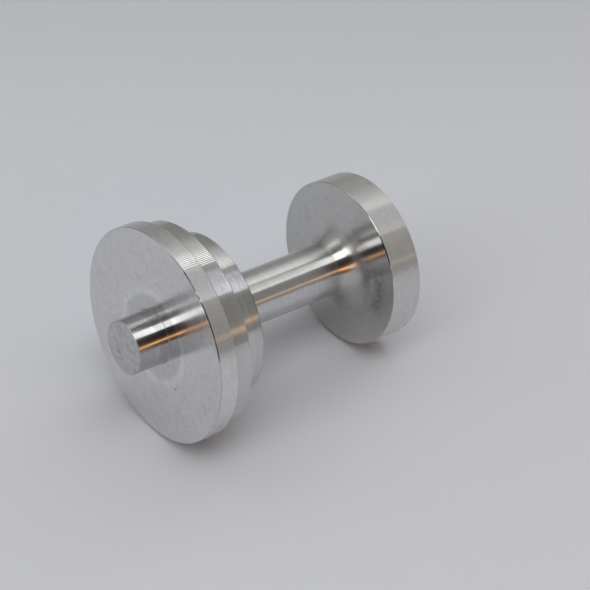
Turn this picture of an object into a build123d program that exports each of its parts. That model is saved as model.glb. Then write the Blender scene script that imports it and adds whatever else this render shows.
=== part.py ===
"""A turned aluminium spool: a stepped flange with a pilot stub, a slim neck and a plain rear flange.

It is one piece, cut from one bar on a lathe. +Z is the axis of the part and points to the stub.
The origin is on that axis, in the flat back face of the rear flange. Sizes are in millimetres.
"""

import os

from build123d import *

# Rear flange
rear_diameter = 31.5
rear_thickness = 6.35

# Neck between the flanges, flared into the rear flange
neck_diameter = 9.9
neck_length = 29.0
flare_radius = 4.4

# Stepped flange, from its smallest step at the back to its largest at the front
back_step_diameter = 30.4
back_step_width = 5.45
middle_step_diameter = 38.0
middle_step_width = 3.7
front_step_diameter = 40.0
front_step_width = 3.6

# Pilot stub on the front face
stub_diameter = 10.0
stub_length = 6.3

# Shallow disc that the facing tool leaves round the stub
facing_disc_diameter = 16.6
facing_disc_depth = 0.05

# Corners: inside ones keep the nose radius of the tool, outside ones are broken
tool_nose_radius = 0.2
flange_edge_break = 0.15
stub_edge_break = 0.25

# Height of each plane where one diameter ends and the next begins
neck_start = rear_thickness
back_step_start = neck_start + neck_length
middle_step_start = back_step_start + back_step_width
front_step_start = middle_step_start + middle_step_width
front_face = front_step_start + front_step_width
facing_disc = front_face - facing_disc_depth
stub_end = front_face + stub_length


with BuildPart() as turned_spool:
    # Half section, from the back face up to the end of the stub
    with BuildSketch(Plane.XZ):
        with BuildLine():
            Polyline(
                (0, 0),
                (rear_diameter / 2, 0),
                (rear_diameter / 2, neck_start),
                (neck_diameter / 2, neck_start),
                (neck_diameter / 2, back_step_start),
                (back_step_diameter / 2, back_step_start),
                (back_step_diameter / 2, middle_step_start),
                (middle_step_diameter / 2, middle_step_start),
                (middle_step_diameter / 2, front_step_start),
                (front_step_diameter / 2, front_step_start),
                (front_step_diameter / 2, front_face),
                (facing_disc_diameter / 2, front_face),
                (facing_disc_diameter / 2, facing_disc),
                (stub_diameter / 2, facing_disc),
                (stub_diameter / 2, stub_end),
                (0, stub_end),
                close=True,
            )
        make_face()
    revolve(axis=Axis.Z)

    # The round edges, one group for each plane of the section, from the back face to the stub's end
    planes = turned_spool.edges().filter_by(GeomType.CIRCLE).group_by(Axis.Z)
    back, rear_front, neck_end, middle_back, front_back, disc, front, stub_tip = planes

    # Flare of the neck, and the two inside corners that the tool leaves
    fillet(rear_front.sort_by(SortBy.RADIUS)[0], flare_radius)
    fillet([neck_end.sort_by(SortBy.RADIUS)[0], disc.sort_by(SortBy.RADIUS)[0]], tool_nose_radius)

    # Broken outside edges, each the widest in its plane
    flange_planes = [back, rear_front, neck_end, middle_back, front_back, front]
    chamfer([plane.sort_by(SortBy.RADIUS)[-1] for plane in flange_planes], flange_edge_break)
    chamfer(stub_tip, stub_edge_break)

turned_spool.part.label = "turned_spool"
os.makedirs("parts", exist_ok=True)
export_step(turned_spool.part, "parts/turned_spool.step")
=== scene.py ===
"""The turned spool in bare aluminium, lying on its two rims on a pale bench."""

import math

import bmesh
import bpy
from mathutils import Matrix, Vector


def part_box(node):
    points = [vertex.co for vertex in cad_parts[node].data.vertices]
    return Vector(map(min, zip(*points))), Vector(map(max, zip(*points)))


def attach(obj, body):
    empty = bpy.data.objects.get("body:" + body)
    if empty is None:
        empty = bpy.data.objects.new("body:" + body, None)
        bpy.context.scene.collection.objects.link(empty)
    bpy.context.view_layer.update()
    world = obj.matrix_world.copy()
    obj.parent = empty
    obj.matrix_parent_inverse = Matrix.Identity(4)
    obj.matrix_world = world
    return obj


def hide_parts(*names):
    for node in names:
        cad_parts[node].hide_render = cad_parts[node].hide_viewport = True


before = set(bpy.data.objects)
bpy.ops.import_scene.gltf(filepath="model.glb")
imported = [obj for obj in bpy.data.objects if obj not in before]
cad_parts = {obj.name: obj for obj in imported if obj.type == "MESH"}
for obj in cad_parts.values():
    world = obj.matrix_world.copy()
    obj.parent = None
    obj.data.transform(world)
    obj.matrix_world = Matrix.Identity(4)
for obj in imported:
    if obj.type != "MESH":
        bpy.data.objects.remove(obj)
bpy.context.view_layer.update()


# ---------------------------------------------------------------------------------------------
# Turned spool. The real piece is one bar of aluminium, turned on a lathe: a pilot stub, a flange
# in three steps, a slim neck flared into a plain rear flange. Each face keeps its tool's marks.
# ---------------------------------------------------------------------------------------------

MM = 0.001

low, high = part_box("turned_spool")
overall_length = high.z - low.z

rear_radius = 15.75 * MM
rear_thickness = 6.35 * MM
neck_radius = 4.95 * MM
neck_length = 29.0 * MM
flare_radius = 4.4 * MM
back_step_radius = 15.2 * MM
back_step_width = 5.45 * MM
middle_step_radius = 19.0 * MM
middle_step_width = 3.7 * MM
front_step_radius = high.x
front_step_width = 3.6 * MM
stub_radius = 5.0 * MM
disc_radius = 8.3 * MM
disc_depth = 0.05 * MM

neck_start = rear_thickness
back_step_start = neck_start + neck_length
middle_step_start = back_step_start + back_step_width
front_step_start = middle_step_start + middle_step_width
front_face = front_step_start + front_step_width
disc_face = front_face - disc_depth
stub_end = overall_length

tool_nose = 0.2 * MM
edge_break = 0.15 * MM
stub_break = 0.25 * MM

turning_steps = 384
merge_distance = 0.0005 * MM
sharp_angle = math.radians(3.2)


def object_of(name, mesh):
    """Ends a bmesh and puts it into the scene as an object."""
    data = bpy.data.meshes.new(name)
    mesh.to_mesh(data)
    mesh.free()
    made = bpy.data.objects.new(name, data)
    bpy.context.scene.collection.objects.link(made)
    return made


def turned_piece(name, corners):
    """A solid turned from (radius, height, size of the rounded corner, its segments)."""
    mesh = bmesh.new()
    points = [mesh.verts.new((radius, 0, height)) for radius, height, _, _ in corners]
    for here, there in zip(points, points[1:]):
        mesh.edges.new((here, there))
    for point, (_, _, rounding, segments) in zip(points, corners):
        if rounding:
            bmesh.ops.bevel(
                mesh,
                geom=[point],
                offset=rounding,
                offset_type="OFFSET",
                segments=segments,
                profile=0.5,
                affect="VERTICES",
                material=-1,
            )
    bmesh.ops.spin(
        mesh,
        geom=mesh.verts[:] + mesh.edges[:],
        cent=(0, 0, 0),
        axis=(0, 0, 1),
        angle=math.tau,
        steps=turning_steps,
        use_merge=True,
    )
    bmesh.ops.remove_doubles(mesh, verts=mesh.verts[:], dist=merge_distance)
    bmesh.ops.recalc_face_normals(mesh, faces=mesh.faces[:])
    for edge in mesh.edges:
        edge.smooth = edge.calc_face_angle(0) < sharp_angle
    for face in mesh.faces:
        face.smooth = True
    return object_of(name, mesh)


spool = turned_piece(
    "turned_spool_finish",
    [
        (0, 0, 0, 0),
        (rear_radius, 0, edge_break, 2),
        (rear_radius, neck_start, edge_break, 2),
        (neck_radius, neck_start, flare_radius, 32),
        (neck_radius, back_step_start, tool_nose, 3),
        (back_step_radius, back_step_start, edge_break, 2),
        (back_step_radius, middle_step_start, 0, 0),
        (middle_step_radius, middle_step_start, edge_break, 2),
        (middle_step_radius, front_step_start, 0, 0),
        (front_step_radius, front_step_start, edge_break, 2),
        (front_step_radius, front_face, edge_break, 2),
        (disc_radius, front_face, 0, 0),
        (disc_radius, disc_face, 0, 0),
        (stub_radius, disc_face, tool_nose, 3),
        (stub_radius, stub_end, stub_break, 2),
        (0, stub_end, 0, 0),
    ],
)


class Wire:
    """A node's output. Sums and products of it add Math nodes; any other node comes from node()."""

    def __init__(self, tree, socket=None):
        self.tree = tree
        self.socket = socket

    def node(self, kind, settings=None, inputs=None, output=0):
        made = self.tree.nodes.new(kind)
        for name, value in (settings or {}).items():
            if name == "stops":
                marks = made.color_ramp.elements
                for index, (position, colour) in enumerate(value):
                    mark = marks[index] if index < 2 else marks.new(position)
                    mark.position = position
                    mark.color = colour
            else:
                setattr(made, name, value)
        for name, value in (inputs or {}).items():
            if isinstance(value, Wire):
                self.tree.links.new(value.socket, made.inputs[name])
            else:
                made.inputs[name].default_value = value
        if not made.outputs:
            return made
        if isinstance(output, tuple):
            return [Wire(self.tree, made.outputs[name]) for name in output]
        return Wire(self.tree, made.outputs[output])

    def math(self, operation, *values):
        return self.node("ShaderNodeMath", {"operation": operation}, dict(enumerate(values)))

    def vector(self, operation, inputs, output=0):
        return self.node("ShaderNodeVectorMath", {"operation": operation}, inputs, output)

    def at_least(self, other):
        return self.math("MAXIMUM", self, other)

    def at_most(self, other):
        return self.math("MINIMUM", self, other)

    def __add__(self, other):
        return self.math("ADD", self, other)

    def __radd__(self, other):
        return self.math("ADD", other, self)

    def __sub__(self, other):
        return self.math("SUBTRACT", self, other)

    def __rsub__(self, other):
        return self.math("SUBTRACT", other, self)

    def __mul__(self, other):
        return self.math("MULTIPLY", self, other)

    def __rmul__(self, other):
        return self.math("MULTIPLY", other, self)

    def __truediv__(self, other):
        return self.math("DIVIDE", self, other)

    def __rtruediv__(self, other):
        return self.math("DIVIDE", other, self)


def blank_material(name):
    """A material without nodes, and a loose wire to make its first ones from."""
    material = bpy.data.materials.new(name)
    material.use_nodes = True
    material.node_tree.nodes.clear()
    return material, Wire(material.node_tree)


def step(value, start, end):
    """0 before start, 1 past end, and smooth between them."""
    return value.node(
        "ShaderNodeMapRange",
        {"interpolation_type": "SMOOTHSTEP"},
        {"Value": value, "From Min": start, "From Max": end},
    )


def band(value, start, end, soft):
    """1 from start to end, fading to 0 over the distance soft outside them."""
    return step(value, start - soft, start) * (1 - step(value, end, end + soft))


def noise(vector, detail=2.0, roughness=0.5, scale=1.0):
    """Smooth patches between 0 and 1. A greater scale makes them smaller."""
    return vector.node(
        "ShaderNodeTexNoise",
        {"noise_dimensions": "3D"},
        {"Vector": vector, "Scale": scale, "Detail": detail, "Roughness": roughness},
    )


def scratches(across, along, angle, spacing, length):
    """Thin straight scratches at an angle to the across direction."""
    cosine = math.cos(math.radians(angle))
    sine = math.sin(math.radians(angle))
    sideways = (across * cosine + along * sine) / spacing
    lengthways = (along * cosine - across * sine) / length
    vector = across.node("ShaderNodeCombineXYZ", None, {0: sideways, 1: lengthways, 2: angle})
    return step(noise(vector, 1.0), 0.60, 0.70)


def metal_lobe(colour, roughness, anisotropy, normal):
    """One sheen of the metal, drawn out across the turning marks, which run round the bar."""
    return colour.node(
        "ShaderNodeBsdfPrincipled",
        None,
        {
            "Base Color": colour,
            "Metallic": 1.0,
            "Roughness": roughness,
            "Anisotropic": anisotropy,
            "Anisotropic Rotation": 0.25,
            "Normal": normal,
        },
    )


def aluminium(value):
    """The colour of bare aluminium at a brightness."""
    return (value, value, value * 1.01)


darkest_tone = 0.02
# The blue of the painted sheen patch on the steps.
blue_cast = (-0.01, -0.01, 0.045)

# What each finish covers, in the order of the spool's materials: (lowest, inner, outer)
covered = []


class TurnedMetal:
    """Bare aluminium off the lathe, to which marks, painted highlight and painted shade are added before
    it is laid on the spool.

    The metal has a sharp sheen and a soft haze, given by their roughnesses. haze_share is the part
    of the light that the haze takes, and round_share is how much of the haze spreads evenly. The
    rest is drawn out across the turning marks, as the sheen is. Inside a finish, lengths are in
    millimetres and angles round the bar in degrees from +X.
    """

    def __init__(
        self,
        name,
        shade,
        sheen,
        haze,
        haze_share,
        round_share=0.0,
        mottling=0.1,
        mottle_scale=1.0,
        lines=0.16,
    ):
        self.material, nodes = blank_material(name)
        self.shade = Vector(shade)
        self.sheen = sheen
        self.haze = haze
        self.round_share = round_share
        self.painted_sheen_patch = None

        metres = nodes.node("ShaderNodeTexCoord", output="Object")
        self.spot = nodes.vector("SCALE", {0: metres, "Scale": 1 / MM})
        self.x, self.y, self.z = nodes.node("ShaderNodeSeparateXYZ", None, {0: self.spot}, ("X", "Y", "Z"))
        self.radius = nodes.math("SQRT", self.x * self.x + self.y * self.y)
        self.turn = nodes.math("ARCTAN2", self.y, self.x)
        self.around = self.turn * math.degrees(1)

        fine = self.streaks(width=0.22)
        broad = self.streaks(width=0.9)
        clouds = noise(self.spot, scale=0.4 * mottle_scale) - 0.5
        flecks = noise(self.spot, detail=1.0, scale=1.7 * mottle_scale) - 0.5
        self.smears = step(noise(self.spot, detail=1.5, scale=0.9 * mottle_scale), 0.50, 0.80)
        self.tone = 1 + (fine + broad * 0.8) * lines
        self.tone = self.tone + (clouds * 0.5 + flecks * 0.6 - self.smears * 0.4) * mottling
        self.haze_share = haze_share + (clouds * 1.2 + flecks + self.smears * 0.5) * mottling
        self.height = fine * 0.004 + broad * 0.012

    def streaks(self, width, breaks=0.5, detail=2.0):
        """Uneven marks round the bar, from about -0.5 to 0.5. More breaks make them shorter."""
        cosine = self.x / self.radius * breaks
        sine = self.y / self.radius * breaks
        across = (self.radius - self.z) / width
        vector = across.node("ShaderNodeCombineXYZ", None, {0: cosine, 1: sine, 2: across})
        return noise(vector, detail) - 0.5

    def add_rings(self, dish_start, dish_curve):
        """The fine rings of a faced surface, and a slight dish outside the radius dish_start."""
        rings = self.streaks(width=0.06, breaks=0.2, detail=0.0)
        outside = (self.radius - dish_start).at_least(0.0)
        self.height = self.height + rings * 0.005 + outside * outside * dish_curve

    def add_dulling(self, start, end, share):
        """More haze outwards, from none at the radius start to all of share at the radius end."""
        self.haze_share = self.haze_share + step(self.radius, start, end) * share

    def add_painted_light_bands(self, *bands):
        """Painted highlight and painted shade in bands along the bar, lightening or dimming its
        reflections: (first angle, last angle, softness, amount).
        """
        for start, end, soft, amount in bands:
            self.tone = self.tone + band(self.around, start, end, soft) * amount

    def add_painted_highlight_wedge(self, strength):
        """A painted highlight wedge along the stub, wide at the stub's end, and painted shade in a dark
        stretch beside it.
        """
        wide_end = 54.2
        degrees_per_millimetre = 1.97
        slanted_side = -63.2 + (wide_end - self.z) * degrees_per_millimetre
        pale = step(self.around - slanted_side, -0.8, 0.8) * (1 - step(self.around, -49, -43))
        dark = band(self.around, -63, -46, 3) - pale
        paleness = 0.3 + step(self.z, 50, wide_end)
        self.tone = self.tone + (pale * paleness - dark * 1.8) * strength

    def add_chatter_and_painted_glints(self, strength):
        """The ridges that a chattering tool left along the bar, in relief, with painted glints on them and
        a painted paler band, over a few degrees of the turn.
        """
        ridges_per_radian = 330
        place = step(self.around, -67.0, -66.4) * (1 - step(self.around, -63.5, -56))
        beat = noise(self.spot, roughness=0.6, scale=1.3) * 1.3
        ridges = beat.math("SINE", self.turn * ridges_per_radian + (beat - 0.6) * 1.2) * beat
        # The tone here is painted highlight. The relief below is the ridges' own.
        self.tone = self.tone + place * (0.3 + ridges * 1.3) * strength
        self.height = self.height + place * ridges * (0.006 * strength)

    def add_sheen_patch_and_scratches(self):
        """A painted sheen: a patch painted paler and a little blue at angles round the bar, crossed by
        thin scratches.
        """
        self.painted_sheen_patch = band(self.around, -84.6, -71, 0.4)
        unrolled = self.turn * (middle_step_radius / MM)
        steep = scratches(unrolled, self.z, angle=82, spacing=0.24, length=3.0)
        leaning = scratches(unrolled, self.z, angle=-70, spacing=0.28, length=2.4)
        crossed = steep + leaning
        self.tone = self.tone + self.painted_sheen_patch * (0.08 + crossed * 0.26 - self.smears * 0.1)
        self.haze_share = self.haze_share - self.painted_sheen_patch * crossed * 0.2

    def add_disc(self):
        """A darker disc round the stub, pale round its edge, and hair scratches over the face."""
        edge = disc_radius / MM
        inside = 1 - step(self.radius, edge - 0.6, edge)
        border = band(self.radius, edge + 0.2, edge + 0.7, 0.9)
        long_hairs = scratches(self.x, self.y, angle=62, spacing=0.5, length=9.0)
        short_hairs = scratches(self.x, self.y, angle=-20, spacing=0.6, length=7.0)
        hairs = long_hairs + short_hairs
        self.tone = self.tone + (border * 0.09 - inside * 0.13 + hairs * 0.02)

    def add_fleck(self, x, y, inner, outer, depth):
        """A dark fleck on the front face, full to the radius inner and gone at outer."""
        distance = self.spot.vector("DISTANCE", {0: self.spot, 1: (x, y, front_face / MM)}, "Value")
        self.tone = self.tone - (1 - step(distance, inner, outer)) * depth

    def add_dark_arc(self, depth):
        """A patchy dark arc near the rim of the rear flange's face."""
        patches = step(noise(self.spot, roughness=0.6, scale=0.7), 0.3, 0.7)
        arc = band(self.radius, 11.4, 12.2, 1.6) * band(self.around, -150, -116, 12)
        self.tone = self.tone - arc * patches * depth

    def add_painted_dark_edge(self, start, end, last_gap, depth):
        """A painted dark reflection along a sharp edge, which breaks up into dashes past its end."""
        soft = 4
        line_gaps = step(noise(self.spot, detail=0.0, scale=0.6), 0.42, 0.50)
        line = band(self.around, start, end, soft) + band(self.around, end + soft, last_gap, 1) * line_gaps
        self.tone = self.tone - line * depth

    def lay_on(self, lowest, inner=0.0, outer=1.0):
        """Makes the finish the next one of the spool. It covers the faces above lowest, from one
        radius to another, that no earlier finish covers. These three are in metres.
        """
        tone = self.tone.at_least(darkest_tone)
        colour = tone.vector("SCALE", {0: self.shade, "Scale": tone})
        # The painted sheen patch is also painted a little blue.
        if self.painted_sheen_patch is not None:
            colour = tone.vector("MULTIPLY_ADD", {0: self.painted_sheen_patch, 1: blue_cast, 2: colour})
        bump = tone.node("ShaderNodeBump", None, {"Strength": 1.0, "Distance": MM, "Height": self.height})
        sharp = metal_lobe(colour, self.sheen, 1.0, bump)
        soft = metal_lobe(colour, self.haze, 1.0 - self.round_share, bump)
        share = self.haze_share.at_least(0.0).at_most(1.0)
        both = share.node("ShaderNodeMixShader", None, {0: share, 1: sharp, 2: soft})
        both.node("ShaderNodeOutputMaterial", None, {"Surface": both})
        spool.data.materials.append(self.material)
        covered.append((lowest, inner, outer))


# The finishes go on from the stub's end to the back face, each down to its lowest height. For a
# flat face that is a hair below the face.
hair = 0.001 * MM

finish = TurnedMetal("stub_edge", aluminium(0.5), sheen=0.25, haze=0.5, haze_share=0.8, round_share=1.0)
finish.lay_on(stub_end - stub_break, inner=stub_radius - stub_break)

finish = TurnedMetal(
    "stub_end",
    (0.535, 0.533, 0.53),
    sheen=0.16,
    haze=0.27,
    haze_share=0.6,
    round_share=0.5,
    mottling=0.7,
    mottle_scale=0.7,
    lines=0.04,
)
finish.lay_on(stub_end - stub_break / 2)

finish = TurnedMetal(
    "stub",
    aluminium(0.56),
    sheen=0.06,
    haze=0.24,
    haze_share=0.08,
    mottling=0.02,
    lines=0.06,
)
# Painted highlight and painted shade on the stub's side.
finish.add_painted_highlight_wedge(strength=0.14)
finish.lay_on(front_face + tool_nose)

# The stub's root is painted darker: painted shade that dims the bright ring its rounding catches.
finish = TurnedMetal("stub_root", aluminium(0.4), sheen=0.12, haze=0.27, haze_share=0.3)
finish.lay_on(disc_face + hair, outer=stub_radius + tool_nose)

for name, height, outer in (("front_face", front_face, 1.0), ("disc", disc_face, disc_radius + hair)):
    finish = TurnedMetal(
        name,
        aluminium(0.70),
        sheen=0.05,
        haze=0.27,
        haze_share=0.12,
        round_share=0.8,
        mottling=0.3,
        lines=0.05,
    )
    finish.add_rings(dish_start=5.0, dish_curve=0.0036)
    finish.add_dulling(start=8.0, end=14.5, share=0.48)
    finish.add_disc()
    finish.add_fleck(x=-10.05, y=-0.15, inner=0.1, outer=0.3, depth=0.7)
    finish.add_fleck(x=8.4, y=3.3, inner=0.2, outer=0.6, depth=0.2)
    finish.lay_on(height - hair, outer=outer)

finish = TurnedMetal("front_edge", aluminium(0.55), sheen=0.2, haze=0.27, haze_share=0.3)
# Painted dark reflection along the front edge.
finish.add_painted_dark_edge(start=-113, end=-87, last_gap=-68, depth=0.85)
finish.lay_on(front_face - edge_break)

finish = TurnedMetal("front_rim", aluminium(0.60), sheen=0.09, haze=0.5, haze_share=0.49, round_share=1.0)
# Painted highlight and painted shade in bands round the step, over its reflections.
finish.add_painted_light_bands(
    (-180, -118, 7, 0.22),
    (-180, -158, 10, -0.14),
    (-106, -103.5, 1, -0.06),
    (-69, -63, 2, 0.1),
    (-57, -48, 3, -0.05),
)
# Chatter ridges in relief, with painted glints.
finish.add_chatter_and_painted_glints(strength=1.0)
finish.lay_on(front_step_start + edge_break)

finish = TurnedMetal("middle_rim", aluminium(0.57), sheen=0.08, haze=0.25, haze_share=0.42, lines=0.24)
# Painted highlight and painted shade in bands round the step, over its reflections.
finish.add_painted_light_bands((-180, -118, 7, 0.08), (-71, -67.4, 1, -0.1))
# Chatter ridges in relief, with painted glints.
finish.add_chatter_and_painted_glints(strength=1.0)
# A painted sheen patch, crossed by real scratches.
finish.add_sheen_patch_and_scratches()
finish.lay_on(middle_step_start + edge_break)

finish = TurnedMetal("back_rim", aluminium(0.56), sheen=0.09, haze=0.26, haze_share=0.5, lines=0.24)
# Painted highlight and painted shade in bands round the step, over its reflections.
finish.add_painted_light_bands((-180, -118, 7, 0.1), (-71, -67.4, 1, -0.1))
# Chatter ridges in relief, with painted glints.
finish.add_chatter_and_painted_glints(strength=0.35)
# A painted sheen patch, crossed by real scratches.
finish.add_sheen_patch_and_scratches()
finish.lay_on(back_step_start + edge_break)

finish = TurnedMetal("back_edge", aluminium(0.5), sheen=0.2, haze=0.27, haze_share=0.3)
# Painted dark reflection along the back step's edge.
finish.add_painted_dark_edge(start=-117, end=-67, last_gap=-63, depth=0.8)
finish.lay_on(back_step_start + hair, inner=back_step_radius - edge_break)

finish = TurnedMetal("back_of_step", aluminium(0.60), sheen=0.1, haze=0.3, haze_share=0.5)
finish.lay_on(back_step_start - tool_nose / 2, inner=neck_radius + tool_nose / 2)

finish = TurnedMetal("neck", aluminium(0.64), sheen=0.14, haze=0.28, haze_share=0.48, lines=0.12)
finish.lay_on(neck_start + flare_radius)

finish = TurnedMetal("flare", (0.55, 0.545, 0.53), sheen=0.11, haze=0.28, haze_share=0.65, lines=0.12)
finish.lay_on(neck_start + 10 * hair)

finish = TurnedMetal(
    "rear_face",
    (0.555, 0.55, 0.535),
    sheen=0.06,
    haze=0.27,
    haze_share=0.38,
    mottling=0.22,
    lines=0.12,
)
finish.add_rings(dish_start=9.35, dish_curve=0.003)
# A patchy darker arc near the rim.
finish.add_dark_arc(depth=0.4)
finish.lay_on(neck_start - hair)

finish = TurnedMetal("rear_edge", aluminium(0.55), sheen=0.2, haze=0.27, haze_share=0.3)
# Painted dark reflection along the rear edge.
finish.add_painted_dark_edge(start=-104, end=-87, last_gap=-83, depth=0.85)
finish.lay_on(neck_start - edge_break)

finish = TurnedMetal(
    "rear_rim",
    aluminium(0.59),
    sheen=0.1,
    haze=0.5,
    haze_share=0.67,
    round_share=1.0,
    lines=0.08,
)
# Painted highlight and painted shade in bands round the rim, over its reflections.
finish.add_painted_light_bands((-180, -118, 7, 0.14), (-57, -45, 5, -0.08))
finish.lay_on(edge_break)

finish = TurnedMetal("back_face", aluminium(0.62), sheen=0.12, haze=0.3, haze_share=0.5, mottling=0.12)
finish.lay_on(-edge_break)

for face in spool.data.polygons:
    face_radius = math.hypot(face.center.x, face.center.y)
    for index, (lowest, inner, outer) in enumerate(covered):
        if lowest <= face.center.z and inner <= face_radius <= outer:
            face.material_index = index
            break

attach(spool, "root")
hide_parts("turned_spool")


# ---------------------------------------------------------------------------------------------
# Bench and camera. The bench is a plain pale top. It touches the wide rims of both flanges, so
# it leans on the part's axis by their difference in radius. Seen from below it is clear.
# ---------------------------------------------------------------------------------------------

bench_side = math.radians(135)
bench_lean = math.atan2(front_step_radius - rear_radius, front_step_start)
to_bench = Vector((math.cos(bench_side), math.sin(bench_side), 0))
bar_axis = Vector((0, 0, 1))
bench_up = bar_axis * math.sin(bench_lean) - to_bench * math.cos(bench_lean)
bench_foot = to_bench * rear_radius
bench_colour = (0.674, 0.698, 0.763)
bench_radius = 1.2
bench_segments = 96

camera_place = Vector((-0.01023, -0.33286, 0.22849))
camera_back = Vector((-0.01974, -0.84472, 0.53484)).normalized()
camera_right = bench_up.cross(camera_back).normalized()
camera_up = camera_back.cross(camera_right)


def turned_to(place, across, upward, back):
    """The matrix of a thing that stands at place and looks against back."""
    return Matrix.Translation(place) @ Matrix((across, upward, back)).transposed().to_4x4()


lens = bpy.data.cameras.new("camera")
lens.sensor_width = 36
lens.lens = 131.96
lens.clip_start = 0.01
camera = bpy.data.objects.new("camera", lens)
camera.matrix_world = turned_to(camera_place, camera_right, camera_up, camera_back)
bpy.context.scene.collection.objects.link(camera)
bpy.context.scene.camera = camera

bench_mesh = bmesh.new()
bmesh.ops.create_circle(bench_mesh, cap_ends=True, radius=bench_radius, segments=bench_segments)
bench = object_of("bench", bench_mesh)
along = (bar_axis - bench_up * bench_up.z).normalized()
bench.matrix_world = turned_to(bench_foot, along, bench_up.cross(along), bench_up)

# The top is painted a little paler towards its front, a painted fall-off of the light across it, and fades
# out near its rim. The front's direction is in the bench's own axes.
bench_front = (0.477, 0.611, 0)
paint, nodes = blank_material("bench")
clear = nodes.node("ShaderNodeBsdfTransparent")
underneath = nodes.node("ShaderNodeNewGeometry", output="Backfacing")
place = nodes.node("ShaderNodeTexCoord", output="Object")
distance = place.vector("LENGTH", {0: place}, "Value")
forward = place.vector("DOT_PRODUCT", {0: place, 1: bench_front}, "Value")
tone = 0.87 + step(forward, -0.11, -0.03) * 0.12 + step(forward, 0.0, 0.07) * 0.04
colour = tone.vector("SCALE", {0: bench_colour, "Scale": tone})
top = colour.node("ShaderNodeBsdfPrincipled", None, {"Base Color": colour, "Roughness": 0.9})
gone = step(distance, bench_radius * 0.6, bench_radius).at_least(underneath)
shown = top.node("ShaderNodeMixShader", None, {0: gone, 1: top, 2: clear})
shown.node("ShaderNodeOutputMaterial", None, {"Surface": shown})
bench.data.materials.append(paint)


# ---------------------------------------------------------------------------------------------
# Light tent. Five curved white walls stand round the bar, one past the other along it, and glow
# as windows, lamps and dark gaps behind them would make them. Past them is a plain pale room.
# ---------------------------------------------------------------------------------------------

room = bpy.data.worlds.new("room")
room.use_nodes = True
room.node_tree.nodes["Background"].inputs["Color"].default_value = (0.5, 0.5, 0.51, 1)
bpy.context.scene.world = room

camera_angle = math.atan2(camera_back.y, camera_back.x)
wall_radius = 1.5
wall_from = -46
wall_to = 134
wall_middle = math.radians((wall_from + wall_to) / 2)
wall_turn = math.radians(wall_to - wall_from)
wall_steps = 90
full_glow = 4.0


def glowing_wall(name, along_bar, glow):
    """A curved wall between two angles along the bar, as seen from the bar's middle.

    Glow is its light by the angle round the bar, from wall_from to wall_to. All angles are in
    degrees, and those round the bar start at the camera's side.
    """
    heights = [wall_radius * math.tan(math.radians(angle)) for angle in along_bar]
    mesh = bmesh.new()
    ends = [mesh.verts.new((wall_radius, 0, height)) for height in heights]
    bmesh.ops.spin(
        mesh,
        geom=[*ends, mesh.edges.new(ends)],
        cent=(0, 0, 0),
        axis=(0, 0, 1),
        dvec=(0, 0, 0),
        angle=wall_turn,
        steps=wall_steps,
        use_merge=False,
    )
    half_back = Matrix.Rotation(-wall_turn / 2, 3, "Z")
    bmesh.ops.rotate(mesh, verts=mesh.verts[:], cent=(0, 0, 0), matrix=half_back)
    wall = object_of(name, mesh)
    wall.location.z = overall_length / 2
    wall.rotation_euler.z = camera_angle + wall_middle
    wall.visible_camera = False

    stops = []
    for angle, colour in glow:
        position = (angle - wall_from) / (wall_to - wall_from)
        stops.append((position, (*(part / full_glow for part in colour), 1)))
    cloth, nodes = blank_material(name)
    place = nodes.node("ShaderNodeTexCoord", output="Object")
    x, y = place.node("ShaderNodeSeparateXYZ", None, {0: place}, ("X", "Y"))
    across = y.math("ARCTAN2", y, x) / wall_turn + 0.5
    shine = across.node("ShaderNodeValToRGB", {"stops": stops}, {0: across})
    light = shine.node("ShaderNodeEmission", None, {"Color": shine, "Strength": full_glow})
    light.node("ShaderNodeOutputMaterial", None, {"Surface": light})
    wall.data.materials.append(cloth)


def grey(value):
    """The faintly warm light of a plain stretch of wall."""
    return (value, value * 0.998, value * 0.975)


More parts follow.
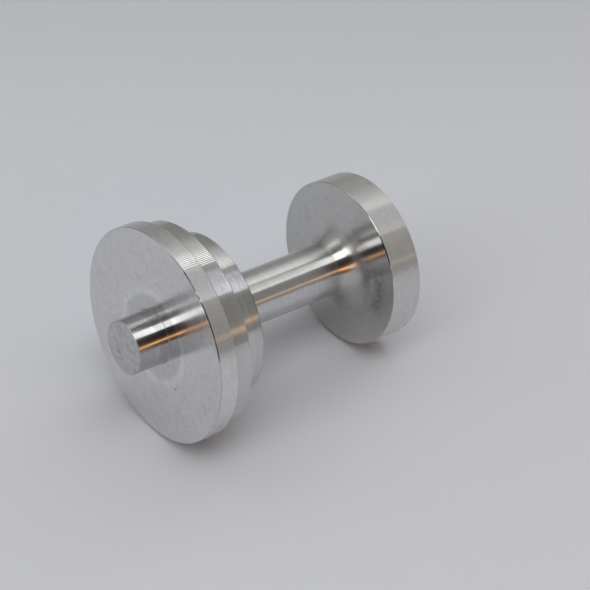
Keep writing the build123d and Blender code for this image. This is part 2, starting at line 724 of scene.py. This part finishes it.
glowing_wall(
    "far wall",
    (-66, -14),
    [
        (-46, grey(0.30)),
        (-30.5, grey(0.31)),
        (-28.5, (0.68, 0.55, 0.42)),
        (-25, (0.66, 0.53, 0.40)),
        (-23, grey(0.32)),
        (9, (0.34, 0.33, 0.30)),
        (12.5, (0.39, 0.38, 0.36)),
        (14.5, grey(0.90)),
        (21, grey(0.76)),
        (28, grey(0.57)),
        (36, grey(0.47)),
        (47, grey(0.48)),
        (50, grey(0.58)),
        (52, grey(1.00)),
        (55, grey(1.20)),
        (62, grey(1.15)),
        (68, grey(1.00)),
        (74, grey(0.80)),
        (82, grey(0.64)),
        (90, (0.44, 0.44, 0.41)),
        (98, (0.36, 0.36, 0.335)),
        (134, (0.30, 0.30, 0.28)),
    ],
)
glowing_wall(
    "near wall",
    (-14, 40),
    [
        (-46, (0.50, 0.43, 0.43)),
        (-41, (0.22, 0.13, 0.09)),
        (-34, (0.26, 0.12, 0.05)),
        (-30.5, (0.50, 0.24, 0.10)),
        (-29, (2.10, 1.18, 0.56)),
        (-25, (2.00, 1.08, 0.48)),
        (-22, (0.50, 0.22, 0.08)),
        (-18, (0.20, 0.08, 0.03)),
        (-12, (0.05, 0.02, 0.02)),
        (0, grey(0.03)),
        (8, grey(0.05)),
        (12.0, grey(0.10)),
        (14, grey(2.00)),
        (15.5, grey(2.35)),
        (36.5, grey(2.40)),
        (38.5, grey(2.20)),
        (40.0, grey(0.90)),
        (41.5, grey(0.33)),
        (46, grey(0.22)),
        (54, grey(0.26)),
        (60, grey(0.38)),
        (66, grey(0.66)),
        (72, grey(1.00)),
        (78, grey(1.10)),
        (84, grey(0.86)),
        (90, grey(0.56)),
        (98, grey(0.48)),
        (112, grey(0.40)),
        (134, grey(0.28)),
    ],
)
glowing_wall(
    "end wall",
    (40, 64),
    [
        (-46, grey(0.30)),
        (-40, (0.60, 0.42, 0.30)),
        (-34, (1.70, 1.25, 0.95)),
        (-26, (1.30, 0.95, 0.70)),
        (-22, (0.20, 0.12, 0.08)),
        (-12, grey(0.02)),
        (15, grey(0.02)),
        (20, grey(1.80)),
        (24, grey(2.30)),
        (44, grey(2.30)),
        (50, grey(0.90)),
        (55, grey(0.40)),
        (134, grey(0.40)),
    ],
)
glowing_wall(
    "last wall",
    (64, 82),
    [
        (-46, (0.60, 0.58, 0.58)),
        (-34, (1.30, 1.00, 0.80)),
        (-26, (1.10, 0.85, 0.68)),
        (-20, (0.25, 0.20, 0.18)),
        (12, (0.20, 0.20, 0.20)),
        (18, (1.50, 1.55, 1.65)),
        (44, (1.50, 1.55, 1.65)),
        (56, (0.60, 0.62, 0.66)),
        (134, (0.60, 0.62, 0.66)),
    ],
)
glowing_wall(
    "first wall",
    (-82, -66),
    [
        (-46, (0.40, 0.40, 0.41)),
        (134, (0.40, 0.40, 0.41)),
    ],
)

bpy.context.scene.view_settings.view_transform = "Standard"
